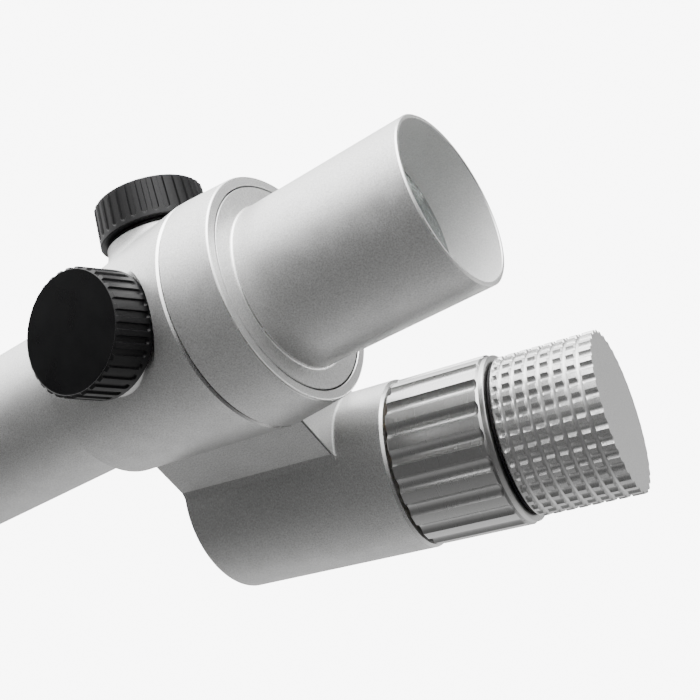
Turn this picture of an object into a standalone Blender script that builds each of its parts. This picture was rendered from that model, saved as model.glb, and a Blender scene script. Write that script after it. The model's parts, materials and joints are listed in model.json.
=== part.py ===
"""Tube finder sight with two capped adjusters and a splayed battery housing.

Frame: metres, +Z up. The optical axis is the Y axis and +Y points at the
target. The origin is on the optical axis, in the middle of the bare 30 mm
tube where a mounting ring clamps. Lengths below are in millimetres.

Each turned piece is drawn as an outline of (radius, station) points in the
frame of its own axis:
  OPTICAL    stations run forward from the rear face of the collar
  ELEVATION  stations run up from the optical axis
  WINDAGE    stations run right from the optical axis
  BATTERY    stations run rearward along the splayed battery axis
"""
import math

import bmesh
import bpy
from mathutils import Matrix, Vector

MM = 0.001
GAP = 0.3                       # room left between pieces that touch

# Main tube and housing, stations along the optical axis
TUBE_R = 15.0                   # standard 30 mm mounting tube
EYEPIECE_END = -32.7
OBJECTIVE_END = 107.0
SEAT_STATION = 75.0             # middle of the bare tube, the origin
SEAM = 10.3                     # joint between the collar and the housing
HOUSING_FRONT = 42.8
HOUSING_BIG_R = 21.35           # crown of the housing, at the seam
HOUSING_SMALL_R = 17.9          # housing at its front edge
COLLAR_R = 20.2                 # collar at its rear face
FLANGE_R = 18.65                # eyepiece flange let into the collar
FLANGE_FACE = 0.1
BORE_R = 13.6                   # clear bore of the housing and long tube
EYEPIECE_BORE_R = 14.25
WINDOW_STATION = -23.5          # rear face of the eyepiece window
TUBE_SPIGOT = 36.0              # rear end of the long tube, in the housing
SPIGOT_R = 15.5                 # front end of the eyepiece tube
SPIGOT_END = 9.5
FLANGE_DEPTH = 3.0
STEP_R = 13.0                   # eyepiece bore in front of its window
WINDOW_SEAT = 2.4               # depth of the step that the window rests on
WINDOW_THICK = 2.1
MOUTH_R = 14.2                  # bore of the long tube at its front
LENS_SEAT = 97.2                # step for the objective window
EDGE = 0.25                     # chamfer on a tube's end

# Inner optical tube and its gimbal
INNER_R = 12.0
INNER_BORE_R = 10.9
INNER_BACK = 14.0
INNER_FRONT = 94.5
PIVOT_STATION = 87.0
GIMBAL_R = (12.35, 13.25)
PIN_R = 0.7
PIN_HOLE_R = 0.95
LENS_R = 10.6

# Adjuster turrets, stations out from the optical axis
TURRET_STATION = 24.9
ELEVATION_SEAT = 19.0
WINDAGE_SEAT = 20.3
BOSS_R = 9.75
NECK_R = 7.9
NECK_HEIGHT = 5.0
CAP_R = 10.45
CAP_SKIRT = 0.8                 # skirt's lower edge above the seat
CAP_BAND = 0.9                  # plain band under the ribs
CAP_TOP = 8.8
CAP_BORE_R = 8.3
CAP_ROOF = 7.4
CAP_RIBS = 32
SPOT_FACE_R = 11.2
BUSH_R = 5.3
PLUNGER_R = 2.2

# Battery housing, stations rearward along its own axis
BATTERY_ANGLE = 225.0           # seen from the eyepiece, between -X and -Z
BATTERY_OFFSET = 43.75          # from the optical axis at station 0
BATTERY_SPLAY = 9.1
BATTERY_TUBE_R = 15.3
WEB_HALF = 8.6
HOUSING_MOUTH = -3.45
BARREL_BACK = -33.0
JOURNAL_R = 10.8
THREAD_R = 10.0
BARREL_BORE_R = 8.6
SWITCH_BACK = -2.85
SWITCH_FRONT = 15.55
SWITCH_R = 15.0
SWITCH_FLUTES = 20
CAP_BACK = 16.3
CAP_FACE = 34.38
BATTERY_CAP_R = 14.0
KNURLS = 35
CELL_R = 7.25                   # one 14.5 x 50.5 mm cell
CELL_BACK = -31.5
CELL_FRONT = 18.0


def frame_on(origin, direction, side):
    """Matrix whose local z runs along direction and whose x leans to side."""
    z_axis = Vector(direction).normalized()
    x_axis = Vector(side) - Vector(side).dot(z_axis) * z_axis
    x_axis.normalize()
    y_axis = z_axis.cross(x_axis)
    turn = Matrix((x_axis, y_axis, z_axis)).transposed().to_4x4()
    return Matrix.Translation(Vector(origin) * MM) @ turn


def battery_frame():
    angle = math.radians(BATTERY_ANGLE)
    splay = math.radians(BATTERY_SPLAY)
    outward = Vector((math.cos(angle), 0, math.sin(angle)))
    rearward = outward * math.sin(splay) + Vector((0, -math.cos(splay), 0))
    origin = outward * BATTERY_OFFSET + Vector((0, -SEAT_STATION, 0))
    return frame_on(origin, rearward, outward)


OPTICAL = frame_on((0, -SEAT_STATION, 0), (0, 1, 0), (1, 0, 0))
TURRET_Y = TURRET_STATION - SEAT_STATION
ELEVATION = frame_on((0, TURRET_Y, 0), (0, 0, 1), (1, 0, 0))
WINDAGE = frame_on((0, TURRET_Y, 0), (1, 0, 0), (0, 1, 0))
TURRETS = (("elevation", ELEVATION_SEAT, ELEVATION), ("windage", WINDAGE_SEAT, WINDAGE))
BATTERY = battery_frame()
PITCH_AXIS = frame_on((0, PIVOT_STATION - SEAT_STATION, 0), (1, 0, 0), (0, 1, 0))
YAW_AXIS = frame_on((0, PIVOT_STATION - SEAT_STATION, 0), (0, 0, 1), (1, 0, 0))


def material(name, colour, roughness, metallic, alpha=1.0):
    mat = bpy.data.materials.new(name)
    mat.use_nodes = True
    shader = mat.node_tree.nodes["Principled BSDF"]
    shader.inputs["Base Color"].default_value = (*colour, 1.0)
    shader.inputs["Roughness"].default_value = roughness
    shader.inputs["Metallic"].default_value = metallic
    shader.inputs["Alpha"].default_value = alpha
    mat.diffuse_color = (*colour, alpha)
    return mat


# name: colour, roughness, metallic, alpha
FINISHES = {
    "blasted_silver": ((0.62, 0.62, 0.61), 0.42, 1.0, 1.0),
    "machined_silver": ((0.60, 0.60, 0.59), 0.24, 1.0, 1.0),
    "black_anodised": ((0.02, 0.02, 0.022), 0.45, 0.6, 1.0),
    "black_plastic": ((0.012, 0.012, 0.013), 0.5, 0.0, 1.0),
    "rubber": ((0.01, 0.01, 0.01), 0.8, 0.0, 1.0),
    "brass": ((0.72, 0.52, 0.22), 0.3, 1.0, 1.0),
    "steel": ((0.45, 0.45, 0.46), 0.3, 1.0, 1.0),
    "glass": ((0.55, 0.65, 0.62), 0.03, 0.0, 0.35),
    "board_green": ((0.03, 0.16, 0.07), 0.5, 0.0, 1.0),
    "liner_white": ((0.75, 0.75, 0.72), 0.5, 0.0, 1.0),
    "cell_wrap": ((0.16, 0.17, 0.2), 0.35, 0.2, 1.0),
    "emitter_red": ((0.6, 0.03, 0.02), 0.3, 0.0, 1.0),
}


def add_object(name, mesh_data, frame, finish):
    """Link a finished bmesh, drawn in millimetres, as one named object."""
    bmesh.ops.remove_doubles(mesh_data, verts=mesh_data.verts[:], dist=1e-5)
    bmesh.ops.recalc_face_normals(mesh_data, faces=mesh_data.faces[:])
    bmesh.ops.scale(mesh_data, vec=(MM, MM, MM), verts=mesh_data.verts[:])
    mesh = bpy.data.meshes.new(name)
    mesh_data.to_mesh(mesh)
    mesh_data.free()
    mesh.shade_smooth()
    mesh.set_sharp_from_angle(angle=math.radians(30))
    mat = bpy.data.materials.new(name) if finish is None else material(name, *FINISHES[finish])
    mesh.materials.append(mat)
    obj = bpy.data.objects.new(name, mesh)
    obj.matrix_world = frame
    bpy.context.scene.collection.objects.link(obj)
    return obj


def turned(name, outline, frame, finish, segments=40):
    """Spin a closed outline of (radius, station) points about local z."""
    mesh_data = bmesh.new()
    corners = [mesh_data.verts.new((radius, 0, station)) for radius, station in outline]
    edges = [mesh_data.edges.new((corners[i - 1], corners[i])) for i in range(len(corners))]
    bmesh.ops.spin(
        mesh_data, geom=corners + edges, cent=(0, 0, 0), axis=(0, 0, 1),
        angle=math.tau, steps=segments, use_merge=True)
    return add_object(name, mesh_data, frame, finish)


def ring(name, inner, outer, low, high, frame, finish, segments=24):
    outline = [(inner, low), (outer, low), (outer, high), (inner, high)]
    return turned(name, outline, frame, finish, segments)


def disc(name, radius, low, high, frame, finish, segments=24):
    outline = [(0, low), (radius, low), (radius, high), (0, high)]
    return turned(name, outline, frame, finish, segments)


def stacked(name, levels, count, frame, finish, hollow=True):
    """Join loops of count points; a level is (station, radius of angle index)."""
    mesh_data = bmesh.new()
    loops = []
    for station, radius_at in levels:
        loop = []
        for i in range(count):
            angle = math.tau * i / count
            radius = radius_at(i)
            point = (radius * math.cos(angle), radius * math.sin(angle), station)
            loop.append(mesh_data.verts.new(point))
        loops.append(loop)
    pairs = list(zip(loops, loops[1:]))
    if hollow:
        pairs.append((loops[-1], loops[0]))
    else:
        mesh_data.faces.new(loops[0])
        mesh_data.faces.new(loops[-1])
    for lower, upper in pairs:
        for i in range(count):
            mesh_data.faces.new((lower[i - 1], lower[i], upper[i], upper[i - 1]))
    return add_object(name, mesh_data, frame, finish)


def block(name, low, high, frame, finish):
    mesh_data = bmesh.new()
    bmesh.ops.create_cube(mesh_data, size=1.0)
    size = [b - a for a, b in zip(low, high)]
    middle = [(a + b) / 2 for a, b in zip(low, high)]
    bmesh.ops.scale(mesh_data, vec=size, verts=mesh_data.verts[:])
    bmesh.ops.translate(mesh_data, vec=middle, verts=mesh_data.verts[:])
    return add_object(name, mesh_data, frame, finish)


def coil(name, low, high, low_r, high_r, wire_r, turns, frame, finish, sides=4, steps=8):
    """Round wire wound from low to high, its coil radius changing evenly."""
    mesh_data = bmesh.new()
    total = turns * steps
    loops = []
    for i in range(total + 1):
        share = i / total
        angle = math.tau * turns * share
        coil_r = low_r + (high_r - low_r) * share
        centre = Vector((coil_r * math.cos(angle), coil_r * math.sin(angle), low + (high - low) * share))
        outward = Vector((math.cos(angle), math.sin(angle), 0))
        loop = []
        for k in range(sides):
            turn = math.tau * k / sides
            offset = outward * math.cos(turn) + Vector((0, 0, 1)) * math.sin(turn)
            loop.append(mesh_data.verts.new(centre + offset * wire_r))
        loops.append(loop)
    for before, after in zip(loops, loops[1:]):
        for k in range(sides):
            mesh_data.faces.new((before[k - 1], before[k], after[k], after[k - 1]))
    mesh_data.faces.new(loops[0])
    mesh_data.faces.new(loops[-1])
    return add_object(name, mesh_data, frame, finish)


def combine(target, tool, operation):
    """Boolean tool into target; the tool itself is only a guide."""
    tool.hide_render = True
    tool.display_type = "WIRE"
    step = target.modifiers.new(tool.name, "BOOLEAN")
    step.operation = operation
    step.object = tool
    return tool


def radial_hole(target, name, radius, inner, outer, frame):
    cutter = disc(name, radius, inner, outer, frame, None, 20)
    combine(target, cutter, "DIFFERENCE")


# Main tube ------------------------------------------------------------------

def make_eyepiece_tube():
    rim = EYEPIECE_END
    fillet = 0.35
    outline = [
        (EYEPIECE_BORE_R + 0.15, rim), (TUBE_R - EDGE, rim), (TUBE_R, rim + EDGE),
        (TUBE_R, FLANGE_FACE - fillet), (TUBE_R + fillet, FLANGE_FACE),
        (FLANGE_R, FLANGE_FACE), (FLANGE_R, FLANGE_DEPTH), (SPIGOT_R, FLANGE_DEPTH),
        (SPIGOT_R, SPIGOT_END), (STEP_R, SPIGOT_END), (STEP_R, WINDOW_STATION + WINDOW_SEAT),
        (EYEPIECE_BORE_R, WINDOW_STATION + WINDOW_SEAT), (EYEPIECE_BORE_R, rim + 0.15)]
    turned("eyepiece_tube", outline, OPTICAL, "blasted_silver")
    window_front = WINDOW_STATION + WINDOW_THICK
    disc("eyepiece_window", EYEPIECE_BORE_R - GAP, WINDOW_STATION, window_front, OPTICAL, "glass", 40)
    ring("eyepiece_seal", SPIGOT_R + 0.5, 17.3, FLANGE_DEPTH + GAP, 4.6, OPTICAL, "rubber")


def make_rear_collar():
    edge = 0.6
    outline = [
        (FLANGE_R + GAP, 0), (COLLAR_R, 0), (COLLAR_R + edge * 0.75, edge * 0.4),
        (COLLAR_R + edge, edge * 1.6), (21.33, 9.2), (HOUSING_BIG_R, SEAM - 0.15),
        (17.8, SEAM - 0.15), (17.8, FLANGE_DEPTH + GAP), (FLANGE_R + GAP, FLANGE_DEPTH + GAP)]
    turned("rear_collar", outline, OPTICAL, "blasted_silver")


def make_objective_tube():
    seat = LENS_SEAT
    outline = [
        (BORE_R, TUBE_SPIGOT), (TUBE_R, TUBE_SPIGOT), (TUBE_R, OBJECTIVE_END - EDGE),
        (TUBE_R - EDGE, OBJECTIVE_END), (MOUTH_R + 0.15, OBJECTIVE_END),
        (MOUTH_R, OBJECTIVE_END - 0.15), (MOUTH_R, seat), (12.9, seat), (12.9, seat - 2.2),
        (BORE_R, seat - 2.2)]
    tube = turned("objective_tube", outline, OPTICAL, "blasted_silver")
    for side in (-1, 1):
        radial_hole(tube, f"pitch_pin_hole_{side}", PIN_HOLE_R, side * 13.0, side * 14.6, PITCH_AXIS)
    ring("objective_seal", 13.0, 13.9, seat + 0.25, seat + 0.7, OPTICAL, "rubber")
    disc("objective_window", 13.9, seat + 0.9, seat + 2.9, OPTICAL, "glass")
    retainer = ring(
        "objective_ring", 12.3, MOUTH_R - 0.2, seat + 3.2, seat + 5.4, OPTICAL, "black_anodised", 32)
    slot = block("spanner_slot", (-15, -0.6, seat + 4.6), (15, 0.6, seat + 6), OPTICAL, None)
    combine(retainer, slot, "DIFFERENCE")


# Housing --------------------------------------------------------------------

def boss_outline(seat, overshoot):
    """Boss with a flared foot, and the threaded neck that the cap covers."""
    return [
        (0, 15.5), (BOSS_R + 0.9, 15.5), (BOSS_R + 0.9, seat - 2.2), (BOSS_R + 0.25, seat - 1.0),
        (BOSS_R, seat - 0.2), (BOSS_R - 0.2, seat), (NECK_R, seat), (NECK_R, seat + overshoot),
        (0, seat + overshoot)]


def make_turret_housing():
    inner_back = 4.9
    shell = [
        (1.0, inner_back), (17.5, inner_back), (17.5, SEAM + 0.15), (HOUSING_BIG_R, SEAM + 0.15),
        (21.2, 12.4), (HOUSING_SMALL_R, HOUSING_FRONT), (HOUSING_SMALL_R, HOUSING_FRONT + 3),
        (1.0, HOUSING_FRONT + 3)]
    housing = turned("turret_housing", shell, OPTICAL, "blasted_silver", 48)

    for name, seat, frame in TURRETS:
        spot = ring(name + "_spot_face", 1.0, SPOT_FACE_R, seat - 0.15, 30, frame, None, 36)
        combine(housing, spot, "DIFFERENCE")
        boss = turned(name + "_boss", boss_outline(seat, NECK_HEIGHT), frame, None, 32)
        combine(housing, boss, "UNION")

    web_frame = frame_on((0, -SEAT_STATION, 0), (0, 1, 0), radial_direction(BATTERY_ANGLE))
    web = block("web", (14.5, -WEB_HALF, SEAM + 0.4), (36, WEB_HALF, HOUSING_FRONT + 2), web_frame, None)
    combine(housing, web, "UNION")
    sleeve = disc("battery_tube", BATTERY_TUBE_R, -60, HOUSING_MOUTH, BATTERY, None, 40)
    chamfer_edge(sleeve, HOUSING_MOUTH)
    combine(housing, sleeve, "UNION")
    front_cut = block("front_cut", (-80, -80, HOUSING_FRONT), (80, 80, 95), OPTICAL, None)
    combine(housing, front_cut, "DIFFERENCE")

    bore = turned("main_bore", [
        (0, 0), (15.9, 0), (15.9, 9.8), (BORE_R, 9.8), (BORE_R, TUBE_SPIGOT - GAP),
        (TUBE_R + GAP, TUBE_SPIGOT - GAP), (TUBE_R + GAP, 60), (0, 60)], OPTICAL, None)
    combine(housing, bore, "DIFFERENCE")
    for name, seat, frame in TURRETS:
        radial_hole(housing, name + "_bore", BUSH_R + GAP, 5, seat + NECK_HEIGHT + 1, frame)
        radial_hole(housing, name + "_spring_pocket", 2.2, -17.8, -5, frame)
    pocket = turned("battery_bore", [
        (0, -37), (THREAD_R + 0.5, -37), (THREAD_R + 0.5, -8.3), (12.4, -8.3), (12.4, 5), (0, 5)],
        BATTERY, None, 32)
    combine(housing, pocket, "DIFFERENCE")
    detent = disc("detent_bore", 0.95, -8.8, 0, BATTERY @ Matrix.Translation((13.85 * MM, 0, 0)), None, 16)
    combine(housing, detent, "DIFFERENCE")
    lead_frame = frame_on((0, 30 - SEAT_STATION, 0), radial_direction(BATTERY_ANGLE), (0, 1, 0))
    radial_hole(housing, "lead_passage", 1.2, 10, 32, lead_frame)


def radial_direction(angle):
    turn = math.radians(angle)
    return Vector((math.cos(turn), 0, math.sin(turn)))


def chamfer_edge(obj, station):
    """Pull the rim at one end of a disc in by a small bevel."""
    mesh_data = bmesh.new()
    mesh_data.from_mesh(obj.data)
    rim = [e for e in mesh_data.edges
           if all(abs(v.co.z / MM - station) < 0.01 and v.co.xy.length > 0.001 for v in e.verts)]
    bmesh.ops.bevel(mesh_data, geom=rim, offset=0.45 * MM, segments=1, affect="EDGES")
    mesh_data.to_mesh(obj.data)
    mesh_data.free()


# Inner optics ---------------------------------------------------------------

def make_inner_tube():
    lip_back, lip_front = 83.0, 84.5
    outline = [
        (INNER_BORE_R, INNER_BACK), (INNER_R, INNER_BACK), (INNER_R, INNER_FRONT),
        (INNER_BORE_R, INNER_FRONT),
        (INNER_BORE_R, lip_front), (10.0, lip_front), (10.0, lip_back), (INNER_BORE_R, lip_back)]
    tube = turned("optical_tube", outline, OPTICAL, "black_anodised", 32)
    gimbal = ring("gimbal_ring", *GIMBAL_R, PIVOT_STATION - 2.5, PIVOT_STATION + 2.5, OPTICAL, "brass", 32)
    for name, side in (("left", -1), ("right", 1)):
        radial_hole(gimbal, f"gimbal_hole_{name}", PIN_HOLE_R, side * 11, side * 14, PITCH_AXIS)
        disc(f"pitch_pin_{name}", PIN_R, side * 12.55, side * 14.3, PITCH_AXIS, "steel", 12)
    for name, side in (("top", 1), ("bottom", -1)):
        radial_hole(gimbal, f"gimbal_hole_{name}", PIN_HOLE_R, side * 11, side * 14, YAW_AXIS)
        radial_hole(tube, f"tube_hole_{name}", PIN_HOLE_R, side * 10, side * 13, YAW_AXIS)
        disc(f"yaw_pin_{name}", PIN_R, side * 11.2, side * 13.0, YAW_AXIS, "steel", 12)


def dished(centre_station, edge_station, steps=4):
    """Points of a shallow spherical lens face, from its middle to its edge."""
    sag = edge_station - centre_station
    return [(LENS_R * i / steps, centre_station + sag * (i / steps) ** 2) for i in range(steps + 1)]


def make_lenses():
    crown = dished(86.6, 87.8) + list(reversed(dished(90.5, 89.3)))
    turned("objective_lens_front", crown, OPTICAL, "glass", 24)
    flint = [(0, 84.8), (LENS_R, 84.8)] + list(reversed(dished(86.3, 87.5)))
    turned("objective_lens_rear", flint, OPTICAL, "glass", 24)
    ring("lens_ring", 9.7, LENS_R, 89.9, 90.9, OPTICAL, "black_anodised")


def make_emitter():
    frame = frame_on((0, -SEAT_STATION, 0), (0, 1, 0), radial_direction(BATTERY_ANGLE))
    block("emitter_bracket", (7.4, -2.2, 18), (10.2, 2.2, 22), frame, "black_anodised")
    block("emitter_chip", (7.8, -0.8, 22 + GAP), (9.4, 0.8, 22.9), frame, "emitter_red")


# Turrets --------------------------------------------------------------------

def ribbed_radius(index):
    """Every second point of a cap's outline lies in a groove."""
    return CAP_R - 0.35 if index % 2 == 0 else CAP_R


def make_turret(name, seat, frame):
    top = seat + CAP_TOP
    band = seat + CAP_SKIRT + CAP_BAND
    levels = [
        (seat + CAP_ROOF, lambda i: 0.5),
        (seat + CAP_ROOF, lambda i: CAP_BORE_R),
        (seat + CAP_SKIRT, lambda i: CAP_BORE_R),
        (seat + CAP_SKIRT, lambda i: CAP_R),
        (band, lambda i: CAP_R),
        (band, ribbed_radius),
        (top - 0.25, ribbed_radius),
        (top, lambda i: CAP_R - 0.45),
    ]
    stacked(name + "_cap", levels, CAP_RIBS * 2, frame, "black_plastic", hollow=False)
    ring(name + "_cap_seal", 8.25, 9.5, seat + 0.2, seat + 0.6, frame, "rubber")
    ring(name + "_bush", PLUNGER_R + 0.4, BUSH_R, 14.2, seat + NECK_HEIGHT - 0.2, frame, "brass", 24)
    plunger = [
        (0, 12.35), (PLUNGER_R - 0.6, 12.35), (PLUNGER_R, 12.95), (PLUNGER_R, seat + 1.9),
        (0, seat + 1.9)]
    turned(name + "_plunger", plunger, frame, "steel", 20)
    dial_low = seat + NECK_HEIGHT + GAP
    dial_top = seat + 7.0
    dial_outline = [
        (0, seat + 3.0), (PLUNGER_R, seat + 3.0), (PLUNGER_R, dial_low), (7.2, dial_low),
        (7.2, dial_top - 0.3), (6.9, dial_top), (0, dial_top)]
    dial = turned(name + "_dial", dial_outline, frame, "machined_silver", 24)
    slot = block(name + "_dial_slot", (-5.2, -0.7, dial_top - 0.8), (5.2, 0.7, dial_top + 1), frame, None)
    combine(dial, slot, "DIFFERENCE")
    coil(name + "_spring", -17.1, -13.15, 1.5, 1.5, 0.3, 4, frame, "steel")


# Battery side ---------------------------------------------------------------

def make_battery_barrel():
    outline = [
        (BARREL_BORE_R, BARREL_BACK), (THREAD_R + 0.2, BARREL_BACK), (THREAD_R + 0.2, -8.3),
        (JOURNAL_R, -8.0),
        (JOURNAL_R, 4.0), (9.7, 4.0), (9.7, 5.6), (JOURNAL_R, 5.6), (JOURNAL_R, 14.4),
        (THREAD_R, 14.4), (THREAD_R, 24.0), (BARREL_BORE_R, 24.0)]
    turned("battery_barrel", outline, BATTERY, "machined_silver", 32)
    ring("switch_seal", 9.9, JOURNAL_R + 0.15, 4.25, 5.35, BATTERY, "rubber")
    disc("contact_board", 10.0, -36.5, -35.2, BATTERY, "board_green")
    disc("rear_contact", 3.5, -34.9, -32.8, BATTERY, "brass", 20)
    ring("battery_sleeve", 7.6, 8.3, -32.5, 14.0, BATTERY, "liner_white")
    cell = [
        (0, CELL_BACK - 1.0), (2.75, CELL_BACK - 1.0), (2.75, CELL_BACK), (CELL_R - 0.5, CELL_BACK),
        (CELL_R, CELL_BACK + 0.5), (CELL_R, CELL_FRONT - 0.5), (CELL_R - 0.5, CELL_FRONT), (0, CELL_FRONT)]
    turned("battery_cell", cell, BATTERY, "cell_wrap", 24)


def flute_radius(index):
    """Lands and flutes, four points of the outline to each pair."""
    return SWITCH_R if index % 4 < 2 else SWITCH_R - 0.75


def make_switch():
    inner = JOURNAL_R + GAP
    lock_r = 12.8
    shoulder = 14.2
    levels = [
        (SWITCH_BACK, lambda i: inner),
        (SWITCH_BACK, flute_radius),
        (shoulder, flute_radius),
        (shoulder + 0.3, lambda i: SWITCH_R),
        (SWITCH_FRONT - 0.5, lambda i: SWITCH_R),
        (SWITCH_FRONT, lambda i: SWITCH_R - 0.6),
        (SWITCH_FRONT, lambda i: lock_r),
        (SWITCH_FRONT - 1.2, lambda i: lock_r),
        (SWITCH_FRONT - 1.2, lambda i: inner),
    ]
    stacked("switch_ring", levels, SWITCH_FLUTES * 4, BATTERY, "machined_silver")
    ring("switch_lock_ring", THREAD_R + GAP, 12.5, 14.65, 15.3, BATTERY, "steel")
    ring("resistor_board", 11.1, 12.1, -8.0, -7.0, BATTERY, "board_green")
    ring("switch_wiper", 11.1, 12.1, -6.6, SWITCH_BACK - GAP, BATTERY, "brass")
    track = BATTERY @ Matrix.Translation((13.85 * MM, 0, 0))
    coil("detent_spring", -8.3, -5.0, 0.55, 0.55, 0.14, 4, track, "steel", 4, 8)
    ball = bmesh.new()
    bmesh.ops.create_uvsphere(ball, u_segments=12, v_segments=8, radius=0.7)
    bmesh.ops.translate(ball, vec=(0, 0, -3.95), verts=ball.verts[:])
    add_object("detent_ball", ball, track, "steel")


def knurl_radius(index):
    return BATTERY_CAP_R - 0.5 if index % 2 == 0 else BATTERY_CAP_R


def make_battery_cap():
    levels = [
        (31.4, lambda i: 0.5),
        (31.4, lambda i: 8.9),
        (25.0, lambda i: 8.9),
        (25.0, lambda i: THREAD_R + GAP),
        (CAP_BACK, lambda i: THREAD_R + GAP),
        (CAP_BACK, lambda i: BATTERY_CAP_R - 0.6),
        (CAP_BACK + 0.4, knurl_radius),
        (CAP_FACE - 0.1, knurl_radius),
        (CAP_FACE, lambda i: BATTERY_CAP_R - 0.65),
    ]
    stacked("battery_cap", levels, KNURLS * 2, BATTERY, "machined_silver", hollow=False)
    ring("battery_cap_seal", 11.0, 13.5, 15.75, 16.1, BATTERY, "rubber", 32)
    coil("cap_contact_spring", 18.8, 30.6, 3.0, 7.4, 0.4, 6, BATTERY, "steel", 5, 9)


def main():
    for obj in list(bpy.data.objects):
        bpy.data.objects.remove(obj, do_unlink=True)
    make_eyepiece_tube()
    make_rear_collar()
    make_objective_tube()
    make_turret_housing()
    make_inner_tube()
    make_lenses()
    make_emitter()
    for name, seat, frame in TURRETS:
        make_turret(name, seat, frame)
    make_battery_barrel()
    make_switch()
    make_battery_cap()
    bpy.context.view_layer.update()


main()
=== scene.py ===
"""Looks of the tube finder sight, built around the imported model.

Lengths are in millimetres unless a name ends in _M. Each turned piece is an
outline of (radius, station) points in the frame of its own axis:
  OPTICAL    stations run forward from the rear face of the collar
  ELEVATION  stations run up from the optical axis
  WINDAGE    stations run right from the optical axis
  BATTERY    stations run rearward along the splayed battery axis
"""
import json
import math

import bmesh
import bpy
from mathutils import Matrix, Vector


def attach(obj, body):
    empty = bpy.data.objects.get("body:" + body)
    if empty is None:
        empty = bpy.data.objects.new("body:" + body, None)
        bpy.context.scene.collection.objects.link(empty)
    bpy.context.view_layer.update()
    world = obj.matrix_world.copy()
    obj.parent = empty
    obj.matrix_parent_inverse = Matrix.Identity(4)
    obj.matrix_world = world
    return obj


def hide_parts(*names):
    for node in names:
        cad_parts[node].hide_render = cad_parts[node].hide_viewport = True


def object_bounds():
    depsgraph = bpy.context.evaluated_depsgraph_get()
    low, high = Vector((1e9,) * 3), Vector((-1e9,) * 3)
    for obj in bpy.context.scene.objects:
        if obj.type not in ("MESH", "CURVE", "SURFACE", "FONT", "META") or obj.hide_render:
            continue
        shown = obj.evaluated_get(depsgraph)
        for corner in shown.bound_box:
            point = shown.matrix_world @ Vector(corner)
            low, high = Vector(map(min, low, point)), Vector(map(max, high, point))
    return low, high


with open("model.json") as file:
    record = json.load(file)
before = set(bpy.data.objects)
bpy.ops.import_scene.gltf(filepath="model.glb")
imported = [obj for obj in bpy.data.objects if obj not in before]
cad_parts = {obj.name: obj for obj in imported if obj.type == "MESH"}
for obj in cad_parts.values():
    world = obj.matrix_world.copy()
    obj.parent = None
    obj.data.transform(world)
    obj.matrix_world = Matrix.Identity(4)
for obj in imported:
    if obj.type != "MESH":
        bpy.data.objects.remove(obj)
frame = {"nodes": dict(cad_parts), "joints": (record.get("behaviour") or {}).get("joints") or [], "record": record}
CAD_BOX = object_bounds()
JOINTS = {joint["name"]: joint for joint in frame["joints"]}

MM = 0.001
ROOT = "sight_body"
STEP = 1.2                      # longest stretch of an outline left undivided

# Main tube and housing
TUBE_R = 15.0
TUBE_CHAMFER = 0.22
EYEPIECE_END = -32.7
OBJECTIVE_END = 107.0
OBJECTIVE_SEAT = 97.2           # step that the objective window and its seal rest on
SEAT_STATION = 75.0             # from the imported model's origin back to the collar
SEAM = 10.3                     # joint between the collar and the housing
HOUSING_FRONT = 42.8
HOUSING_BIG_R = 21.35
HOUSING_SMALL_R = 17.9
TAPER_START = 12.4
TAPER_START_R = 21.2
COLLAR_R = 20.2
FLANGE_R = 18.65
FLANGE_FACE = 0.1
BORE_R = 13.6
EYEPIECE_BORE_R = 14.25
WINDOW_STATION = -23.5
TUBE_SPIGOT = 36.0
SPIGOT_R = 15.5

# Turrets
TURRET_STATION = 24.9
SEATS = {"elevation": 19.0, "windage": 20.3}
BOSS_R = 9.75
NECK_R = 7.9
NECK_HEIGHT = 5.0
CAP_R = 10.45
CAP_SKIRT = 0.8
CAP_BAND = 0.9
CAP_TOP = 8.8
CAP_BORE_R = 8.3
CAP_ROOF = 7.4
CAP_RIBS = 32
CAP_PHASE = {"elevation": -0.6, "windage": 4.1}
SPOT_FACE_R = 11.2
BUSH_R = 5.3

# Battery side
BATTERY_TUBE_R = 15.3
BATTERY_ANGLE = 225.0
WEB_HALF = 8.6
WEB_ROOT = 14.5
WEB_REACH = 36.0
WEB_FACE = SEAM + 0.4
HOUSING_MOUTH = -3.45
THREAD_R = 10.0
JOURNAL_R = 10.8
SWITCH_BACK = -2.85
SWITCH_FRONT = 15.55
SWITCH_R = 15.0
SWITCH_FLUTES = 20
SWITCH_PHASE = -0.4
CAP_BACK = 16.3
CAP_FACE = 34.38
BATTERY_CAP_R = 14.0
KNURLS = 35
KNURL_PHASE = 4.36


def frame_on(origin, direction, side):
    """Matrix whose local z runs along direction and whose x leans to side."""
    z_axis = Vector(direction).normalized()
    x_axis = Vector(side) - Vector(side).dot(z_axis) * z_axis
    x_axis.normalize()
    turn = Matrix((x_axis, z_axis.cross(x_axis), z_axis)).transposed().to_4x4()
    return Matrix.Translation(Vector(origin)) @ turn


def joint_frame(name, side):
    joint = JOINTS[name]
    return frame_on(joint["pos_m"], joint["axis"], side)


OPTICAL = frame_on((0, -SEAT_STATION * MM, 0), (0, 1, 0), (1, 0, 0))
ELEVATION = joint_frame("elevation_cap_turn", (1, 0, 0))
WINDAGE = joint_frame("windage_cap_turn", (0, 1, 0))
BATTERY = joint_frame("battery_cap_turn", (-1, 0, -1))
TURRETS = {"elevation": ELEVATION, "windage": WINDAGE}


# Materials ------------------------------------------------------------------

def new_material(name, roughness, metallic, colour):
    mat = bpy.data.materials.new(name)
    mat.use_nodes = True
    shader = mat.node_tree.nodes["Principled BSDF"]
    shader.inputs["Base Color"].default_value = (*colour, 1.0)
    shader.inputs["Roughness"].default_value = roughness
    shader.inputs["Metallic"].default_value = metallic
    return mat, mat.node_tree, shader


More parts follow.
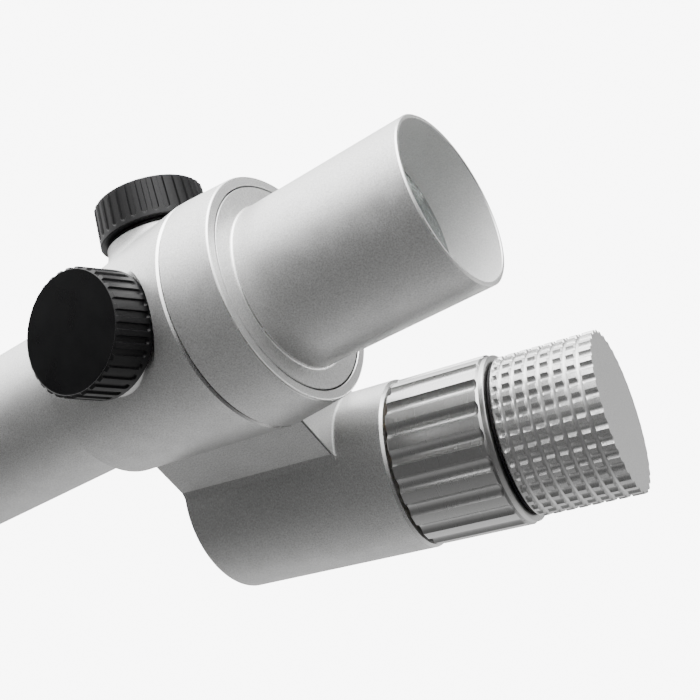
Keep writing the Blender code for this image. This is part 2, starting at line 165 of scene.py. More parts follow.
def noise(tree, scale, detail=2.0, stretch=None):
    """Noise in the piece's own space; scale is in features per metre."""
    place = tree.nodes.new("ShaderNodeTexCoord")
    vector = place.outputs["Object"]
    if stretch:
        mapping = tree.nodes.new("ShaderNodeMapping")
        mapping.inputs["Scale"].default_value = stretch
        tree.links.new(vector, mapping.inputs["Vector"])
        vector = mapping.outputs["Vector"]
    node = tree.nodes.new("ShaderNodeTexNoise")
    node.inputs["Scale"].default_value = scale
    node.inputs["Detail"].default_value = detail
    tree.links.new(vector, node.inputs["Vector"])
    return node.outputs["Fac"]


def spread(tree, value, low, high, start=0.3, end=0.7):
    """Map a noise value onto low..high."""
    node = tree.nodes.new("ShaderNodeMapRange")
    node.inputs["From Min"].default_value = start
    node.inputs["From Max"].default_value = end
    node.inputs["To Min"].default_value = low
    node.inputs["To Max"].default_value = high
    tree.links.new(value, node.inputs["Value"])
    return node.outputs["Result"]


def tint(tree, value, dark, light, shader):
    """Colour between dark and light by value."""
    ramp = tree.nodes.new("ShaderNodeValToRGB")
    ramp.color_ramp.elements[0].position = 0.3
    ramp.color_ramp.elements[0].color = (*dark, 1.0)
    ramp.color_ramp.elements[1].position = 0.7
    ramp.color_ramp.elements[1].color = (*light, 1.0)
    tree.links.new(value, ramp.inputs["Fac"])
    tree.links.new(ramp.outputs["Color"], shader.inputs["Base Color"])


def bump(tree, value, depth, shader, before=None):
    """Height detail of the given depth in millimetres, over an earlier bump."""
    node = tree.nodes.new("ShaderNodeBump")
    node.inputs["Strength"].default_value = 1.0
    node.inputs["Distance"].default_value = depth * MM
    tree.links.new(value, node.inputs["Height"])
    if before:
        tree.links.new(before, node.inputs["Normal"])
    tree.links.new(node.outputs["Normal"], shader.inputs["Normal"])
    return node.outputs["Normal"]


def scaled(colour, factor):
    return tuple(channel * factor for channel in colour)


def grainy(name, colour, roughness, metallic, grain=5200.0, depth=0.012, change=0.06, specular=0.5):
    """Blasted, moulded or anodised surface: fine even grain and faint clouds."""
    mat, tree, shader = new_material(name, roughness, metallic, colour)
    shader.inputs["Specular IOR Level"].default_value = specular
    fine = noise(tree, grain, 3.0)
    broad = noise(tree, grain / 14, 2.0)
    tint(tree, fine, scaled(colour, 1 - change), scaled(colour, 1 + change), shader)
    tree.links.new(spread(tree, broad, roughness - 0.04, roughness + 0.04), shader.inputs["Roughness"])
    bump(tree, fine, depth, shader)
    return mat


def machined(name, colour, roughness, pitch=7000.0, depth=0.0007, change=0.04):
    """Turned metal: fine rings round local z, seen on walls and end faces."""
    mat, tree, shader = new_material(name, roughness, 1.0, colour)
    rings = noise(tree, 1.0, 2.0, (pitch / 30, pitch / 30, pitch))
    specks = noise(tree, 2600.0, 3.0)
    tint(tree, specks, scaled(colour, 1 - change), scaled(colour, 1 + change), shader)
    tree.links.new(spread(tree, rings, roughness - 0.03, roughness + 0.04), shader.inputs["Roughness"])
    first = bump(tree, rings, depth, shader)
    bump(tree, specks, depth, shader, first)
    return mat


def make_glass(name):
    """Coated glass: mostly clear, with a grey-green tone and faint haze."""
    mat, tree, shader = new_material(name, 0.04, 0.0, (0.45, 0.48, 0.47))
    shader.inputs["Transmission Weight"].default_value = 0.78
    shader.inputs["IOR"].default_value = 1.52
    haze = noise(tree, 420.0, 2.0)
    tree.links.new(spread(tree, haze, 0.02, 0.07), shader.inputs["Roughness"])
    return mat


SILVER = (0.66, 0.66, 0.655)
FINISH = {
    "blasted_aluminium": grainy("blasted_aluminium", SILVER, 0.44, 0.82, 4200.0, 0.02, 0.19),
    # Machined chamfer finish whose colour is lightened to near white as a painted highlight along the edges.
    "cut_edge_painted_highlight": grainy("cut_edge_painted_highlight", (0.96, 0.96, 0.95), 0.26, 0.9, 4000.0, 0.002, 0.02),
    "blasted_bore": grainy("blasted_bore", (0.69, 0.69, 0.685), 0.5, 0.0, 4200.0, 0.03, 0.12),
    "turned_channel": grainy("turned_channel", (0.74, 0.74, 0.735), 0.34, 0.95, 3000.0, 0.002, 0.05),
    "cap_pads": grainy("cap_pads", (0.62, 0.62, 0.615), 0.36, 0.95, 5200.0, 0.02, 0.2),
    "machined_aluminium": machined("machined_aluminium", (0.58, 0.58, 0.575), 0.30),
    "black_anodised": grainy("black_anodised", (0.018, 0.018, 0.02), 0.42, 0.3, 4500.0, 0.006, 0.2),
    "black_plastic": grainy("black_plastic", (0.009, 0.009, 0.0095), 0.42, 0.0, 3600.0, 0.006, 0.25, 0.25),
    "smooth_plastic": grainy("smooth_plastic", (0.003, 0.003, 0.0033), 0.3, 0.0, 3600.0, 0.002, 0.25, 0.1),
    "rubber": grainy("rubber", (0.004, 0.004, 0.004), 0.6, 0.0, 2600.0, 0.01, 0.3, 0.3),
    "brass": machined("brass", (0.72, 0.50, 0.20), 0.26),
    "steel": machined("steel", (0.47, 0.47, 0.48), 0.25),
    "glass": make_glass("glass"),
    "circuit_board": grainy("circuit_board", (0.02, 0.13, 0.05), 0.4, 0.0, 1500.0, 0.004, 0.2),
    "liner_plastic": grainy("liner_plastic", (0.72, 0.72, 0.69), 0.45, 0.0, 2400.0, 0.004, 0.05),
    "cell_wrap": grainy("cell_wrap", (0.15, 0.16, 0.19), 0.3, 0.2, 900.0, 0.002, 0.12),
    "emitter": grainy("emitter", (0.6, 0.03, 0.02), 0.2, 0.0, 2000.0, 0.002, 0.1),
}


# Mesh building --------------------------------------------------------------

def finish_mesh(name, mesh_data, place, slot, sharp=30.0, extra=()):
    """Turn a bmesh drawn in millimetres into a linked object."""
    bmesh.ops.remove_doubles(mesh_data, verts=mesh_data.verts[:], dist=1e-4)
    bmesh.ops.recalc_face_normals(mesh_data, faces=mesh_data.faces[:])
    bmesh.ops.scale(mesh_data, vec=(MM, MM, MM), verts=mesh_data.verts[:])
    mesh = bpy.data.meshes.new(name)
    mesh_data.to_mesh(mesh)
    mesh_data.free()
    mesh.shade_smooth()
    mesh.set_sharp_from_angle(angle=math.radians(sharp))
    for key in (slot, *extra):
        mesh.materials.append(FINISH[key])
    obj = bpy.data.objects.new(name, mesh)
    bpy.context.scene.collection.objects.link(obj)
    obj.matrix_world = place
    return obj


def stand_for(obj, body, slot, *nodes):
    """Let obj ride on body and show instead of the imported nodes."""
    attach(obj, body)
    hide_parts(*nodes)
    return obj


def divided(outline, closed=True):
    """Outline with its long stretches divided, each point as (r, s, finish number)."""
    points = [(*p, 0) if len(p) == 2 else p for p in outline]
    ends = points[1:] + points[:1] if closed else points[1:]
    result = []
    for (r0, s0, edge), (r1, s1, _) in zip(points, ends):
        count = max(1, math.ceil(math.hypot(r1 - r0, s1 - s0) / STEP))
        for k in range(count):
            t = k / count
            result.append((r0 + (r1 - r0) * t, s0 + (s1 - s0) * t, edge))
    if not closed:
        result.append(points[-1])
    return result


def arc(centre_r, centre_s, radius, start, end, steps=4, edge=1):
    """Points on a round of an outline, angles in degrees from outward."""
    points = []
    for k in range(steps + 1):
        angle = math.radians(start + (end - start) * k / steps)
        mark = edge if k < steps else 0
        points.append((centre_r + radius * math.cos(angle), centre_s + radius * math.sin(angle), mark))
    return points


def turned_mesh(outline, segments):
    """Spin a closed outline about local z."""
    mesh_data = bmesh.new()
    points = divided(outline)
    rings = []
    for radius, station, _ in points:
        ring = []
        for i in range(segments if radius > 1e-6 else 1):
            angle = math.tau * i / segments
            ring.append(mesh_data.verts.new((radius * math.cos(angle), radius * math.sin(angle), station)))
        rings.append(ring)
    for k, ring in enumerate(rings):
        join_rings(mesh_data, ring, rings[(k + 1) % len(rings)], points[k][2])
    return mesh_data


def join_rings(mesh_data, lower, upper, material_index):
    """Skin between two rings of points, where either may be a single point."""
    count = max(len(lower), len(upper))
    if count == 1:
        return
    for i in range(count):
        corners = [lower[i - 1], lower[i]] if len(lower) > 1 else [lower[0]]
        corners += [upper[i], upper[i - 1]] if len(upper) > 1 else [upper[0]]
        face = mesh_data.faces.new(corners)
        face.material_index = material_index


def turned(name, outline, place, slot, segments):
    """Turned piece whose outline marks 1 and 2 are a cut edge, lightened as a painted highlight, and the blasted
    bore.
    """
    mesh_data = turned_mesh(outline, segments)
    return finish_mesh(name, mesh_data, place, slot, extra=("cut_edge_painted_highlight", "blasted_bore"))


def smooth(value, low, high):
    """Ease from 0 at low to 1 at high."""
    t = min(1.0, max(0.0, (value - low) / (high - low)))
    return t * t * (3 - 2 * t)


def spaced(low, high, step):
    """Even stations from low up to, but without, high."""
    count = max(1, math.ceil((high - low) / step))
    return [low + (high - low) * k / count for k in range(count)]


def relief(name, stations, offsets, repeats, radius_at, inner, place, slot, phase=0.0,
           extra=("cut_edge_painted_highlight",), mark_at=None, sharp=28.0):
    """Wall whose radius depends on angle and station.

    offsets are places across one repeat, from 0 to 1. inner is the outline
    that closes the wall, from its last station back to its first. phase is
    the angle in degrees where the first repeat starts. mark_at gives the
    finish of the wall between one station and the next.
    """
    mesh_data = bmesh.new()
    start = math.radians(phase)
    angles = [start + math.tau * (k + offset) / repeats for k in range(repeats) for offset in offsets]
    rings = []
    for station in stations:
        ring = []
        for index, angle in enumerate(angles):
            radius = radius_at(offsets[index % len(offsets)], station)
            ring.append(mesh_data.verts.new((radius * math.cos(angle), radius * math.sin(angle), station)))
        rings.append((ring, mark_at(station) if mark_at else 0))
    for radius, station, edge in divided(inner, False):
        ring = []
        for angle in (angles if radius > 1e-6 else [0.0]):
            ring.append(mesh_data.verts.new((radius * math.cos(angle), radius * math.sin(angle), station)))
        rings.append((ring, edge))
    for k, (ring, edge) in enumerate(rings):
        if k + 1 < len(rings):
            join_rings(mesh_data, ring, rings[k + 1][0], edge)
        elif len(ring) > 1:
            join_rings(mesh_data, ring, rings[0][0], edge)
    return finish_mesh(name, mesh_data, place, slot, sharp, extra)


# Main tube ------------------------------------------------------------------

def make_eyepiece_tube():
    rim, window_step, fillet = EYEPIECE_END, WINDOW_STATION + 2.4, 0.4
    outline = [(EYEPIECE_BORE_R + 0.12, rim)]
    outline += [(TUBE_R - TUBE_CHAMFER, rim, 1), (TUBE_R, rim + TUBE_CHAMFER)]
    outline += arc(TUBE_R + fillet, FLANGE_FACE - fillet, fillet, 180, 90)
    outline += [
        (FLANGE_R - 0.1, FLANGE_FACE), (FLANGE_R, FLANGE_FACE + 0.1), (FLANGE_R, 3.0), (SPIGOT_R, 3.0),
        (SPIGOT_R, 9.5), (13.0, 9.5), (13.0, window_step), (EYEPIECE_BORE_R, window_step, 2),
        (EYEPIECE_BORE_R, rim + 0.12, 1)]
    tube = turned("eyepiece_tube_skin", outline, OPTICAL, "blasted_aluminium", 192)
    stand_for(tube, ROOT, "blasted_aluminium", "eyepiece_tube")


def make_rear_collar():
    edge = 0.4
    outline = [(FLANGE_R + 0.3, 0.12, 1), (FLANGE_R + 0.42, 0)]
    outline += arc(COLLAR_R + 0.15, edge, edge, -90, -8, 6)
    outline += [
        (21.33, 9.2), (HOUSING_BIG_R, SEAM - 0.35, 1), (HOUSING_BIG_R - 0.2, SEAM - 0.15),
        (17.8, SEAM - 0.15), (17.8, 3.3), (FLANGE_R + 0.3, 3.3)]
    collar = turned("rear_collar_skin", outline, OPTICAL, "blasted_aluminium", 192)
    stand_for(collar, ROOT, "blasted_aluminium", "rear_collar")


def make_objective_tube():
    mouth_r, seat, end = 14.2, OBJECTIVE_SEAT, OBJECTIVE_END
    outline = [
        (BORE_R, TUBE_SPIGOT), (TUBE_R, TUBE_SPIGOT), (TUBE_R, end - TUBE_CHAMFER, 1),
        (TUBE_R - TUBE_CHAMFER, end), (mouth_r + 0.12, end, 1), (mouth_r, end - 0.12),
        (mouth_r, seat), (12.9, seat), (12.9, seat - 2.2), (BORE_R, seat - 2.2)]
    tube = turned("objective_tube_skin", outline, OPTICAL, "blasted_aluminium", 192)
    stand_for(tube, ROOT, "blasted_aluminium", "objective_tube")


# Housing --------------------------------------------------------------------

def solid(name, mesh_data, place):
    """Piece that is about to take part in a Boolean of the housing."""
    return finish_mesh(name, mesh_data, place, "blasted_aluminium", extra=("cut_edge_painted_highlight",))


def block_mesh(low, high):
    mesh_data = bmesh.new()
    bmesh.ops.create_cube(mesh_data, size=1.0)
    bmesh.ops.scale(mesh_data, vec=[b - a for a, b in zip(low, high)], verts=mesh_data.verts[:])
    bmesh.ops.translate(mesh_data, vec=[(a + b) / 2 for a, b in zip(low, high)], verts=mesh_data.verts[:])
    return mesh_data


def combine(target, tool, operation):
    """Apply a Boolean of tool on target and remove the tool."""
    step = target.modifiers.new("combine", "BOOLEAN")
    step.operation = operation
    step.object = tool
    bpy.context.view_layer.update()
    result = target.evaluated_get(bpy.context.evaluated_depsgraph_get())
    mesh = bpy.data.meshes.new_from_object(result)
    target.modifiers.clear()
    target.data = mesh
    bpy.data.objects.remove(tool, do_unlink=True)


def thread(radius, low, high, pitch, depth):
    """Crests and roots of a fine thread between two stations."""
    count = int((high - low) / pitch)
    points = []
    for k in range(count):
        root = low + pitch * k
        points += [(radius - depth, root), (radius, root + pitch * 0.4), (radius, root + pitch * 0.55)]
    return points + [(radius - depth, low + pitch * count)]


def housing_height(name, radius, angle):
    """Height of the housing's skin over the optical axis, in a turret's frame."""
    along, across = radius * math.sin(angle), radius * math.cos(angle)
    if name == "windage":
        along, across = across, along
    station = TURRET_STATION + along
    taper = (TAPER_START_R - HOUSING_SMALL_R) / (HOUSING_FRONT - TAPER_START)
    skin_r = TAPER_START_R - taper * (station - TAPER_START)
    return math.sqrt(skin_r ** 2 - across ** 2)


def boss_mesh(name, seat, segments=128, steps=7):
    """Boss whose foot is rounded into the housing, and the neck under the cap."""
    base, shoulder, widest, sunk = 15.0, seat - 0.2, 1.7, 0.03
    rings = [[] for _ in range(steps + 2)]
    for i in range(segments):
        angle = math.tau * i / segments
        room = shoulder - housing_height(name, BOSS_R, angle)
        flare = widest * smooth(room, 0.0, 2.2) + 0.02
        foot = min(shoulder - 0.01, housing_height(name, BOSS_R + flare, angle) - sunk)
        rise = min(shoulder - foot, flare * 1.5)
        profile = [(BOSS_R + flare, base)]
        for k in range(steps):
            turn = math.pi / 2 * k / (steps - 1)
            profile.append((BOSS_R + flare * (1 - math.sin(turn)), foot + rise * (1 - math.cos(turn))))
        profile.append((BOSS_R, shoulder))
        for ring, (radius, height) in zip(rings, profile):
            ring.append((radius * math.cos(angle), radius * math.sin(angle), height))
    root_r = NECK_R - 0.25
    neck = [(BOSS_R - 0.2, seat), (root_r, seat)]
    neck += thread(NECK_R, seat + 0.9, seat + NECK_HEIGHT - 0.3, 0.5, 0.22) + [(root_r, seat + NECK_HEIGHT)]
    angles = [math.tau * i / segments for i in range(segments)]
    for radius, height in neck:
        rings.append([(radius * math.cos(angle), radius * math.sin(angle), height) for angle in angles])
    mesh_data = bmesh.new()
    loops = [[mesh_data.verts.new(point) for point in ring] for ring in rings]
    for lower, upper in zip(loops, loops[1:]):
        join_rings(mesh_data, lower, upper, 0)
    mesh_data.faces.new(loops[0])
    mesh_data.faces.new(loops[-1])
    return mesh_data


def web_strip(side, width=0.8):
    """Narrow flat band between a side of the web and the battery tube."""
    corner = Vector((-math.sqrt(BATTERY_TUBE_R ** 2 - WEB_HALF ** 2), side * WEB_HALF))
    on_web = corner + Vector((-width, 0))
    angle = math.atan2(corner.y, corner.x) - side * width / BATTERY_TUBE_R
    on_tube = Vector((math.cos(angle), math.sin(angle))) * BATTERY_TUBE_R
    points = [Vector((-10.5, side * 6.5)), on_web + Vector((0, -side * 0.03)), on_tube * 0.998]
    mesh_data = bmesh.new()
    ends = [[mesh_data.verts.new((p.x, p.y, station)) for p in points] for station in (-58, 0)]
    join_rings(mesh_data, ends[0], ends[1], 0)
    for end in ends:
        mesh_data.faces.new(end)
    return mesh_data


def web_rim(width=0.5, segments=160, steps=5):
    """Fillet round the battery tube where it leaves the rear face of the web."""
    to_optical = OPTICAL.inverted() @ BATTERY
    lean_x, lean_y, slope, shift = to_optical[2]
    profile = [(-1.0, 1.0), (width, 0.6), (width, 0.01)]
    for k in range(steps + 1):
        turn = math.pi / 2 * k / steps
        profile.append((width * (1 - math.sin(turn)) - 0.01, -width * (1 - math.cos(turn))))
    mesh_data = bmesh.new()
    loops = []
    for i in range(segments):
        angle = math.tau * i / segments
        loop = []
        for outward, forward in profile:
            x = (BATTERY_TUBE_R + outward) * math.cos(angle)
            y = (BATTERY_TUBE_R + outward) * math.sin(angle)
            height = (WEB_FACE + forward - shift / MM - lean_x * x - lean_y * y) / slope
            loop.append(mesh_data.verts.new((x, y, height)))
        loops.append(loop)
    for i in range(segments):
        join_rings(mesh_data, loops[i - 1], loops[i], 0)
    return mesh_data


def make_turret_housing():
    """Cast body: tapered shell, turret bosses, web and battery tube in one skin."""
    shell = [
        (1.0, 4.9), (17.5, 4.9), (17.5, SEAM + 0.15), (HOUSING_BIG_R - 0.32, SEAM + 0.15, 1),
        (HOUSING_BIG_R, SEAM + 0.5), (TAPER_START_R, TAPER_START), (HOUSING_SMALL_R, HOUSING_FRONT),
        (HOUSING_SMALL_R, HOUSING_FRONT + 3), (1.0, HOUSING_FRONT + 3)]
    housing = solid("turret_housing_skin", turned_mesh(shell, 192), OPTICAL)
    for name, seat in SEATS.items():
        place = TURRETS[name]
        spot = turned_mesh([(1.0, seat - 0.15), (SPOT_FACE_R, seat - 0.15), (SPOT_FACE_R, 30), (1.0, 30)], 96)
        combine(housing, solid("spot", spot, place), "DIFFERENCE")
        combine(housing, solid("boss", boss_mesh(name, seat), place), "UNION")
    angle = math.radians(BATTERY_ANGLE)
    web_place = frame_on((0, -SEAT_STATION * MM, 0), (0, 1, 0), (math.cos(angle), 0, math.sin(angle)))
    web_mesh = block_mesh((WEB_ROOT, -WEB_HALF, WEB_FACE), (WEB_REACH, WEB_HALF, HOUSING_FRONT + 2))
    web = solid("web", web_mesh, web_place)
    groove = 0.35
    for wall in (-WEB_HALF, WEB_HALF):
        crease = block_mesh((WEB_ROOT - 0.5, wall - groove, WEB_FACE + 0.15),
                            (WEB_REACH + 1, wall + groove, WEB_FACE + 0.45))
        combine(web, solid("crease", crease, web_place), "DIFFERENCE")
    combine(housing, web, "UNION")
    tube = [(0, -60), (BATTERY_TUBE_R, -60), (BATTERY_TUBE_R, HOUSING_MOUTH - 0.45, 1),
            (BATTERY_TUBE_R - 0.45, HOUSING_MOUTH), (0, HOUSING_MOUTH)]
    combine(housing, solid("tube", turned_mesh(tube, 160), BATTERY), "UNION")
    rim = solid("rim", web_rim(), BATTERY)
    inside = block_mesh((WEB_ROOT, -WEB_HALF, SEAM - 1), (WEB_REACH, WEB_HALF, SEAM + 1.2))
    combine(rim, solid("inside", inside, web_place), "INTERSECT")
    combine(housing, rim, "UNION")
    for side in (-1, 1):
        strip = solid("strip", web_strip(side), BATTERY)
        rear = block_mesh((-80, -80, -80), (80, 80, WEB_FACE))
        combine(strip, solid("rear", rear, OPTICAL), "DIFFERENCE")
        combine(housing, strip, "UNION")
    front = block_mesh((-80, -80, HOUSING_FRONT), (80, 80, 95))
    combine(housing, solid("front", front, OPTICAL), "DIFFERENCE")
    bore = [(0, 0), (15.9, 0), (15.9, 9.8), (BORE_R, 9.8), (BORE_R, TUBE_SPIGOT - 0.3),
            (TUBE_R + 0.15, TUBE_SPIGOT - 0.3), (TUBE_R + 0.15, 60), (0, 60)]
    combine(housing, solid("bore", turned_mesh(bore, 160), OPTICAL), "DIFFERENCE")
    for name, seat in SEATS.items():
        hole_r, end = BUSH_R + 0.3, seat + NECK_HEIGHT + 1
        hole = [(0, 5), (hole_r, 5), (hole_r, end), (0, end)]
        combine(housing, solid("hole", turned_mesh(hole, 64), TURRETS[name]), "DIFFERENCE")
    pocket_r = THREAD_R + 0.5
    pocket = [(0, -37), (pocket_r, -37), (pocket_r, -8.3), (12.4, -8.3), (12.4, 5), (0, 5)]
    combine(housing, solid("pocket", turned_mesh(pocket, 96), BATTERY), "DIFFERENCE")
    housing.data.shade_smooth()
    housing.data.set_sharp_from_angle(angle=math.radians(25))
    stand_for(housing, ROOT, "blasted_aluminium", "turret_housing")


# Turret caps ----------------------------------------------------------------

def make_cap(name):
    """Turret cap: ribs between round-ended grooves, bevelled rim, plain face."""
    seat = SEATS[name]
    skirt, top = seat + CAP_SKIRT, seat + CAP_TOP
    groove_half, wall, depth = 0.60, 0.14, 0.36
    rim_cut, rim_height = 0.45, 0.40
    groove_end = skirt + CAP_BAND
    pitch = math.tau * CAP_R / CAP_RIBS

    def radius_at(offset, station):
        across = abs(offset - 0.5) * pitch
        along = max(0.0, groove_end + groove_half - station)
        reach = math.hypot(across, along)
        cut = depth * (1 - smooth(reach, groove_half - wall, groove_half))
        foot = 0.15 * (1 - smooth(station, skirt, skirt + 0.15))
        crown = rim_cut * min(1.0, max(0.0, (station - top + rim_height) / rim_height))
        draft = 0.3 * (top - station) / (top - skirt)
        return CAP_R + draft - max(cut, foot, crown)

    stations = [skirt, skirt + 0.06, skirt + 0.15, skirt + 0.5]
    stations += spaced(groove_end - 0.05, groove_end + 1.3, 0.09)
    stations += spaced(groove_end + 1.3, top - rim_height, 0.8)
    stations += [top - rim_height + k * rim_height / 6 for k in range(6)]
    half, inner_half = groove_half / pitch, (groove_half - wall) / pitch
    from_middle = (0.08, inner_half - 0.03, inner_half, (half + inner_half) / 2, half, half + 0.02, 0.38)
    offsets = [0.0] + [0.5 - d for d in reversed(from_middle)] + [0.5] + [0.5 + d for d in from_middle]
    inner = [(CAP_R - rim_cut, top), (CAP_R - rim_cut - 0.08, top - 0.06, 1), (0, top - 0.06),
             (0, seat + CAP_ROOF), (CAP_BORE_R, seat + CAP_ROOF),
             (CAP_BORE_R, skirt + 0.1), (CAP_BORE_R + 0.1, skirt)]
    cap = relief(name + "_cap_skin", stations, offsets, CAP_RIBS, radius_at, inner, TURRETS[name],
                 "black_plastic", CAP_PHASE[name], ("smooth_plastic",))
    stand_for(cap, name + "_cap", "black_plastic", name + "_cap")


# Battery side ---------------------------------------------------------------

def make_switch():
    """Brightness ring: flutes that run out before a narrow plain flange."""
    pitch = math.tau * SWITCH_R / SWITCH_FLUTES
    flute_half, depth, flange_r = 0.29 * pitch, 0.78, 14.68
    land_end, chamfer = 14.25, 0.4
    flute_end = 14.6

    def radius_at(offset, station):
        across = abs(offset - 0.5) * pitch
        beyond = max(0.0, station - (flute_end - 1.0)) * flute_half
        reach = math.hypot(across, beyond) / flute_half
        cut = depth * max(0.0, 1 - reach * reach) ** 0.8
        land = SWITCH_R - (SWITCH_R - flange_r) * min(1.0, max(0.0, (station - land_end) / chamfer))
        land -= 0.12 * (1 - smooth(station, SWITCH_BACK, SWITCH_BACK + 0.15))
        return min(land, SWITCH_R - cut)

    stations = [SWITCH_BACK, SWITCH_BACK + 0.08, SWITCH_BACK + 0.16]
    stations += spaced(SWITCH_BACK + 0.3, land_end - 1.0, 1.5) + spaced(land_end - 1.0, land_end, 0.15)
    stations += spaced(land_end, land_end + chamfer, 0.1) + [land_end + chamfer, 14.9, 15.15]
    edge = flute_half / pitch
    offsets = [0.0, 0.5 - edge - 0.06, 0.5 - edge - 0.01, 0.5 - edge]
    offsets += [0.5 - edge + 2 * edge * k / 12 for k in range(1, 12)]
    offsets += [0.5 + edge, 0.5 + edge + 0.01, 0.5 + edge + 0.06]
    inner = arc(flange_r - 0.18, SWITCH_FRONT - 0.18, 0.18, 0, 90, 3, 0)
    inner += [(12.9, SWITCH_FRONT), (12.8, SWITCH_FRONT - 0.1), (12.8, SWITCH_FRONT - 1.2),
              (JOURNAL_R + 0.3, SWITCH_FRONT - 1.2), (JOURNAL_R + 0.3, SWITCH_BACK)]
    ring = relief("switch_ring_skin", stations, offsets, SWITCH_FLUTES, radius_at, inner, BATTERY,
                  "machined_aluminium", SWITCH_PHASE)
    stand_for(ring, "switch", "machined_aluminium", "switch_ring")


def make_battery_cap():
    """Cap whose lengthwise knurls are cut across by turned channels."""
    pitch = math.tau * BATTERY_CAP_R / KNURLS
    flute_half, flute_depth = 0.33 * pitch, 0.52
    channel_half, channel_depth, first, spacing = 0.48, 0.62, 18.1, 2.28
    channels = [first + spacing * k for k in range(7)]
    face, back = CAP_FACE, CAP_BACK

    def radius_at(offset, station):
        across = abs(offset - 0.5) * pitch / flute_half
        flute = flute_depth * max(0.0, 1 - across * across)
        flute *= smooth(station, back + 0.45, back + 0.75)
        nearest = min(abs(station - centre) for centre in channels)
        channel = channel_depth * max(0.0, 1 - (nearest / channel_half) ** 4)
        foot = 0.35 * (1 - smooth(station, back, back + 0.3))
        return BATTERY_CAP_R - max(flute, channel, foot)

    def in_channel(station):
        return 1 if any(-0.98 < (station - centre) / channel_half < 0.9 for centre in channels) else 0

    stations = [back, back + 0.15, back + 0.3, back + 0.45, back + 0.6, back + 0.75]
    for centre in channels:
        stations += [centre + channel_half * t for t in (-1.05, -1, -0.93, -0.83, -0.68, -0.4, 0)]
        stations += [centre + channel_half * t for t in (0.4, 0.68, 0.83, 0.93, 1, 1.05)]
        if centre != channels[-1]:
            stations.append(centre + spacing / 2)
    stations += [33.2, face - 0.1]
    edge = flute_half / pitch
    offsets = [0.0, 0.5 - edge - 0.03, 0.5 - edge]
    offsets += [0.5 - edge + 2 * edge * k / 8 for k in range(1, 8)] + [0.5 + edge, 0.5 + edge + 0.03]
    inner = [(13.35, face), (0, face), (0, 31.4), (8.9, 31.4), (8.9, 25.0), (THREAD_R + 0.3, 25.0),
             (THREAD_R + 0.3, back), (13.2, back)]
    cap = relief("battery_cap_skin", stations, offsets, KNURLS, radius_at, inner, BATTERY,
                 "cap_pads", KNURL_PHASE, ("turned_channel",), in_channel)
    stand_for(cap, "battery_cap", "machined_aluminium", "battery_cap")
    section = rounded_ring(11.0, 13.55, 15.72, 16.2, 0.2)
    seal = turned("battery_cap_seal_skin", section, BATTERY, "rubber", 128)
    stand_for(seal, "battery_cap_seal", "rubber", "battery_cap_seal")


def rounded_ring(inner, outer, low, high, edge):
    """Section of a ring whose outer corners are rounded."""
    return [(inner, low), *arc(outer - edge, low + edge, edge, -90, 0, 4, 0),
            *arc(outer - edge, high - edge, edge, 0, 90, 4, 0), (inner, high)]


# Windows, lenses and inner pieces ---------------------------------------------

def rod(radius, low, high, edge=0.2):
    """Section of a solid round piece with small chamfers."""
    return [(0, low), (radius - edge, low, 1), (radius, low + edge), (radius, high - edge, 1),
            (radius - edge, high), (0, high)]


def pipe(inner, outer, low, high, edge=0.15):
    """Section of a ring with small chamfers."""
    return [(inner, low + edge), (inner + edge, low), (outer - edge, low, 1), (outer, low + edge),
            (outer, high - edge, 1), (outer - edge, high), (inner + edge, high, 1), (inner, high - edge)]


def dished(centre_station, edge_station, radius=10.6, steps=16):
    """Curved lens face from its centre out to its edge."""
    sag = edge_station - centre_station
    return [(radius * k / steps, centre_station + sag * (k / steps) ** 2) for k in range(steps + 1)]


def stand_in(node, body, slot, outline, place, segments=96):
    """Turned piece that shows instead of the node of the same name."""
    piece = turned(node + "_skin", outline, place, slot, segments)
    return stand_for(piece, body, slot, node)


def cut_slot(piece, place, low, high):
    """Cut a spanner or coin slot across a turned piece."""
    tool = finish_mesh("slot_tool", block_mesh(low, high), place, "steel")
    combine(piece, tool, "DIFFERENCE")
    piece.data.shade_smooth()
    piece.data.set_sharp_from_angle(angle=math.radians(30))


def make_optics():
    lens_r, seat = 10.6, OBJECTIVE_SEAT
    window = rod(EYEPIECE_BORE_R - 0.3, WINDOW_STATION, WINDOW_STATION + 2.1)
    stand_in("eyepiece_window", ROOT, "glass", window, OPTICAL, 128)
    stand_in("eyepiece_seal", ROOT, "rubber", rounded_ring(16.0, 17.3, 3.3, 4.6, 0.3), OPTICAL)
    seal = rounded_ring(13.0, 13.9, seat + 0.25, seat + 0.7, 0.15)
    stand_in("objective_seal", ROOT, "rubber", seal, OPTICAL)
    stand_in("objective_window", ROOT, "glass", rod(13.9, seat + 0.9, seat + 2.9), OPTICAL, 128)
    ring = pipe(12.3, 14.0, seat + 3.2, seat + 5.4)
    retainer = stand_in("objective_ring", ROOT, "black_anodised", ring, OPTICAL, 128)
    cut_slot(retainer, OPTICAL, (-15, -0.6, seat + 4.6), (15, 0.6, seat + 6))
    front = dished(86.6, 87.8) + list(reversed(dished(90.5, 89.3)))
    stand_in("objective_lens_front", "optical_tube", "glass", front, OPTICAL)
    rear = [(0, 84.8), (lens_r, 84.8), *reversed(dished(86.3, 87.5))]
    stand_in("objective_lens_rear", "optical_tube", "glass", rear, OPTICAL)
    stand_in("lens_ring", "optical_tube", "black_anodised", pipe(9.7, lens_r, 89.9, 90.9), OPTICAL)


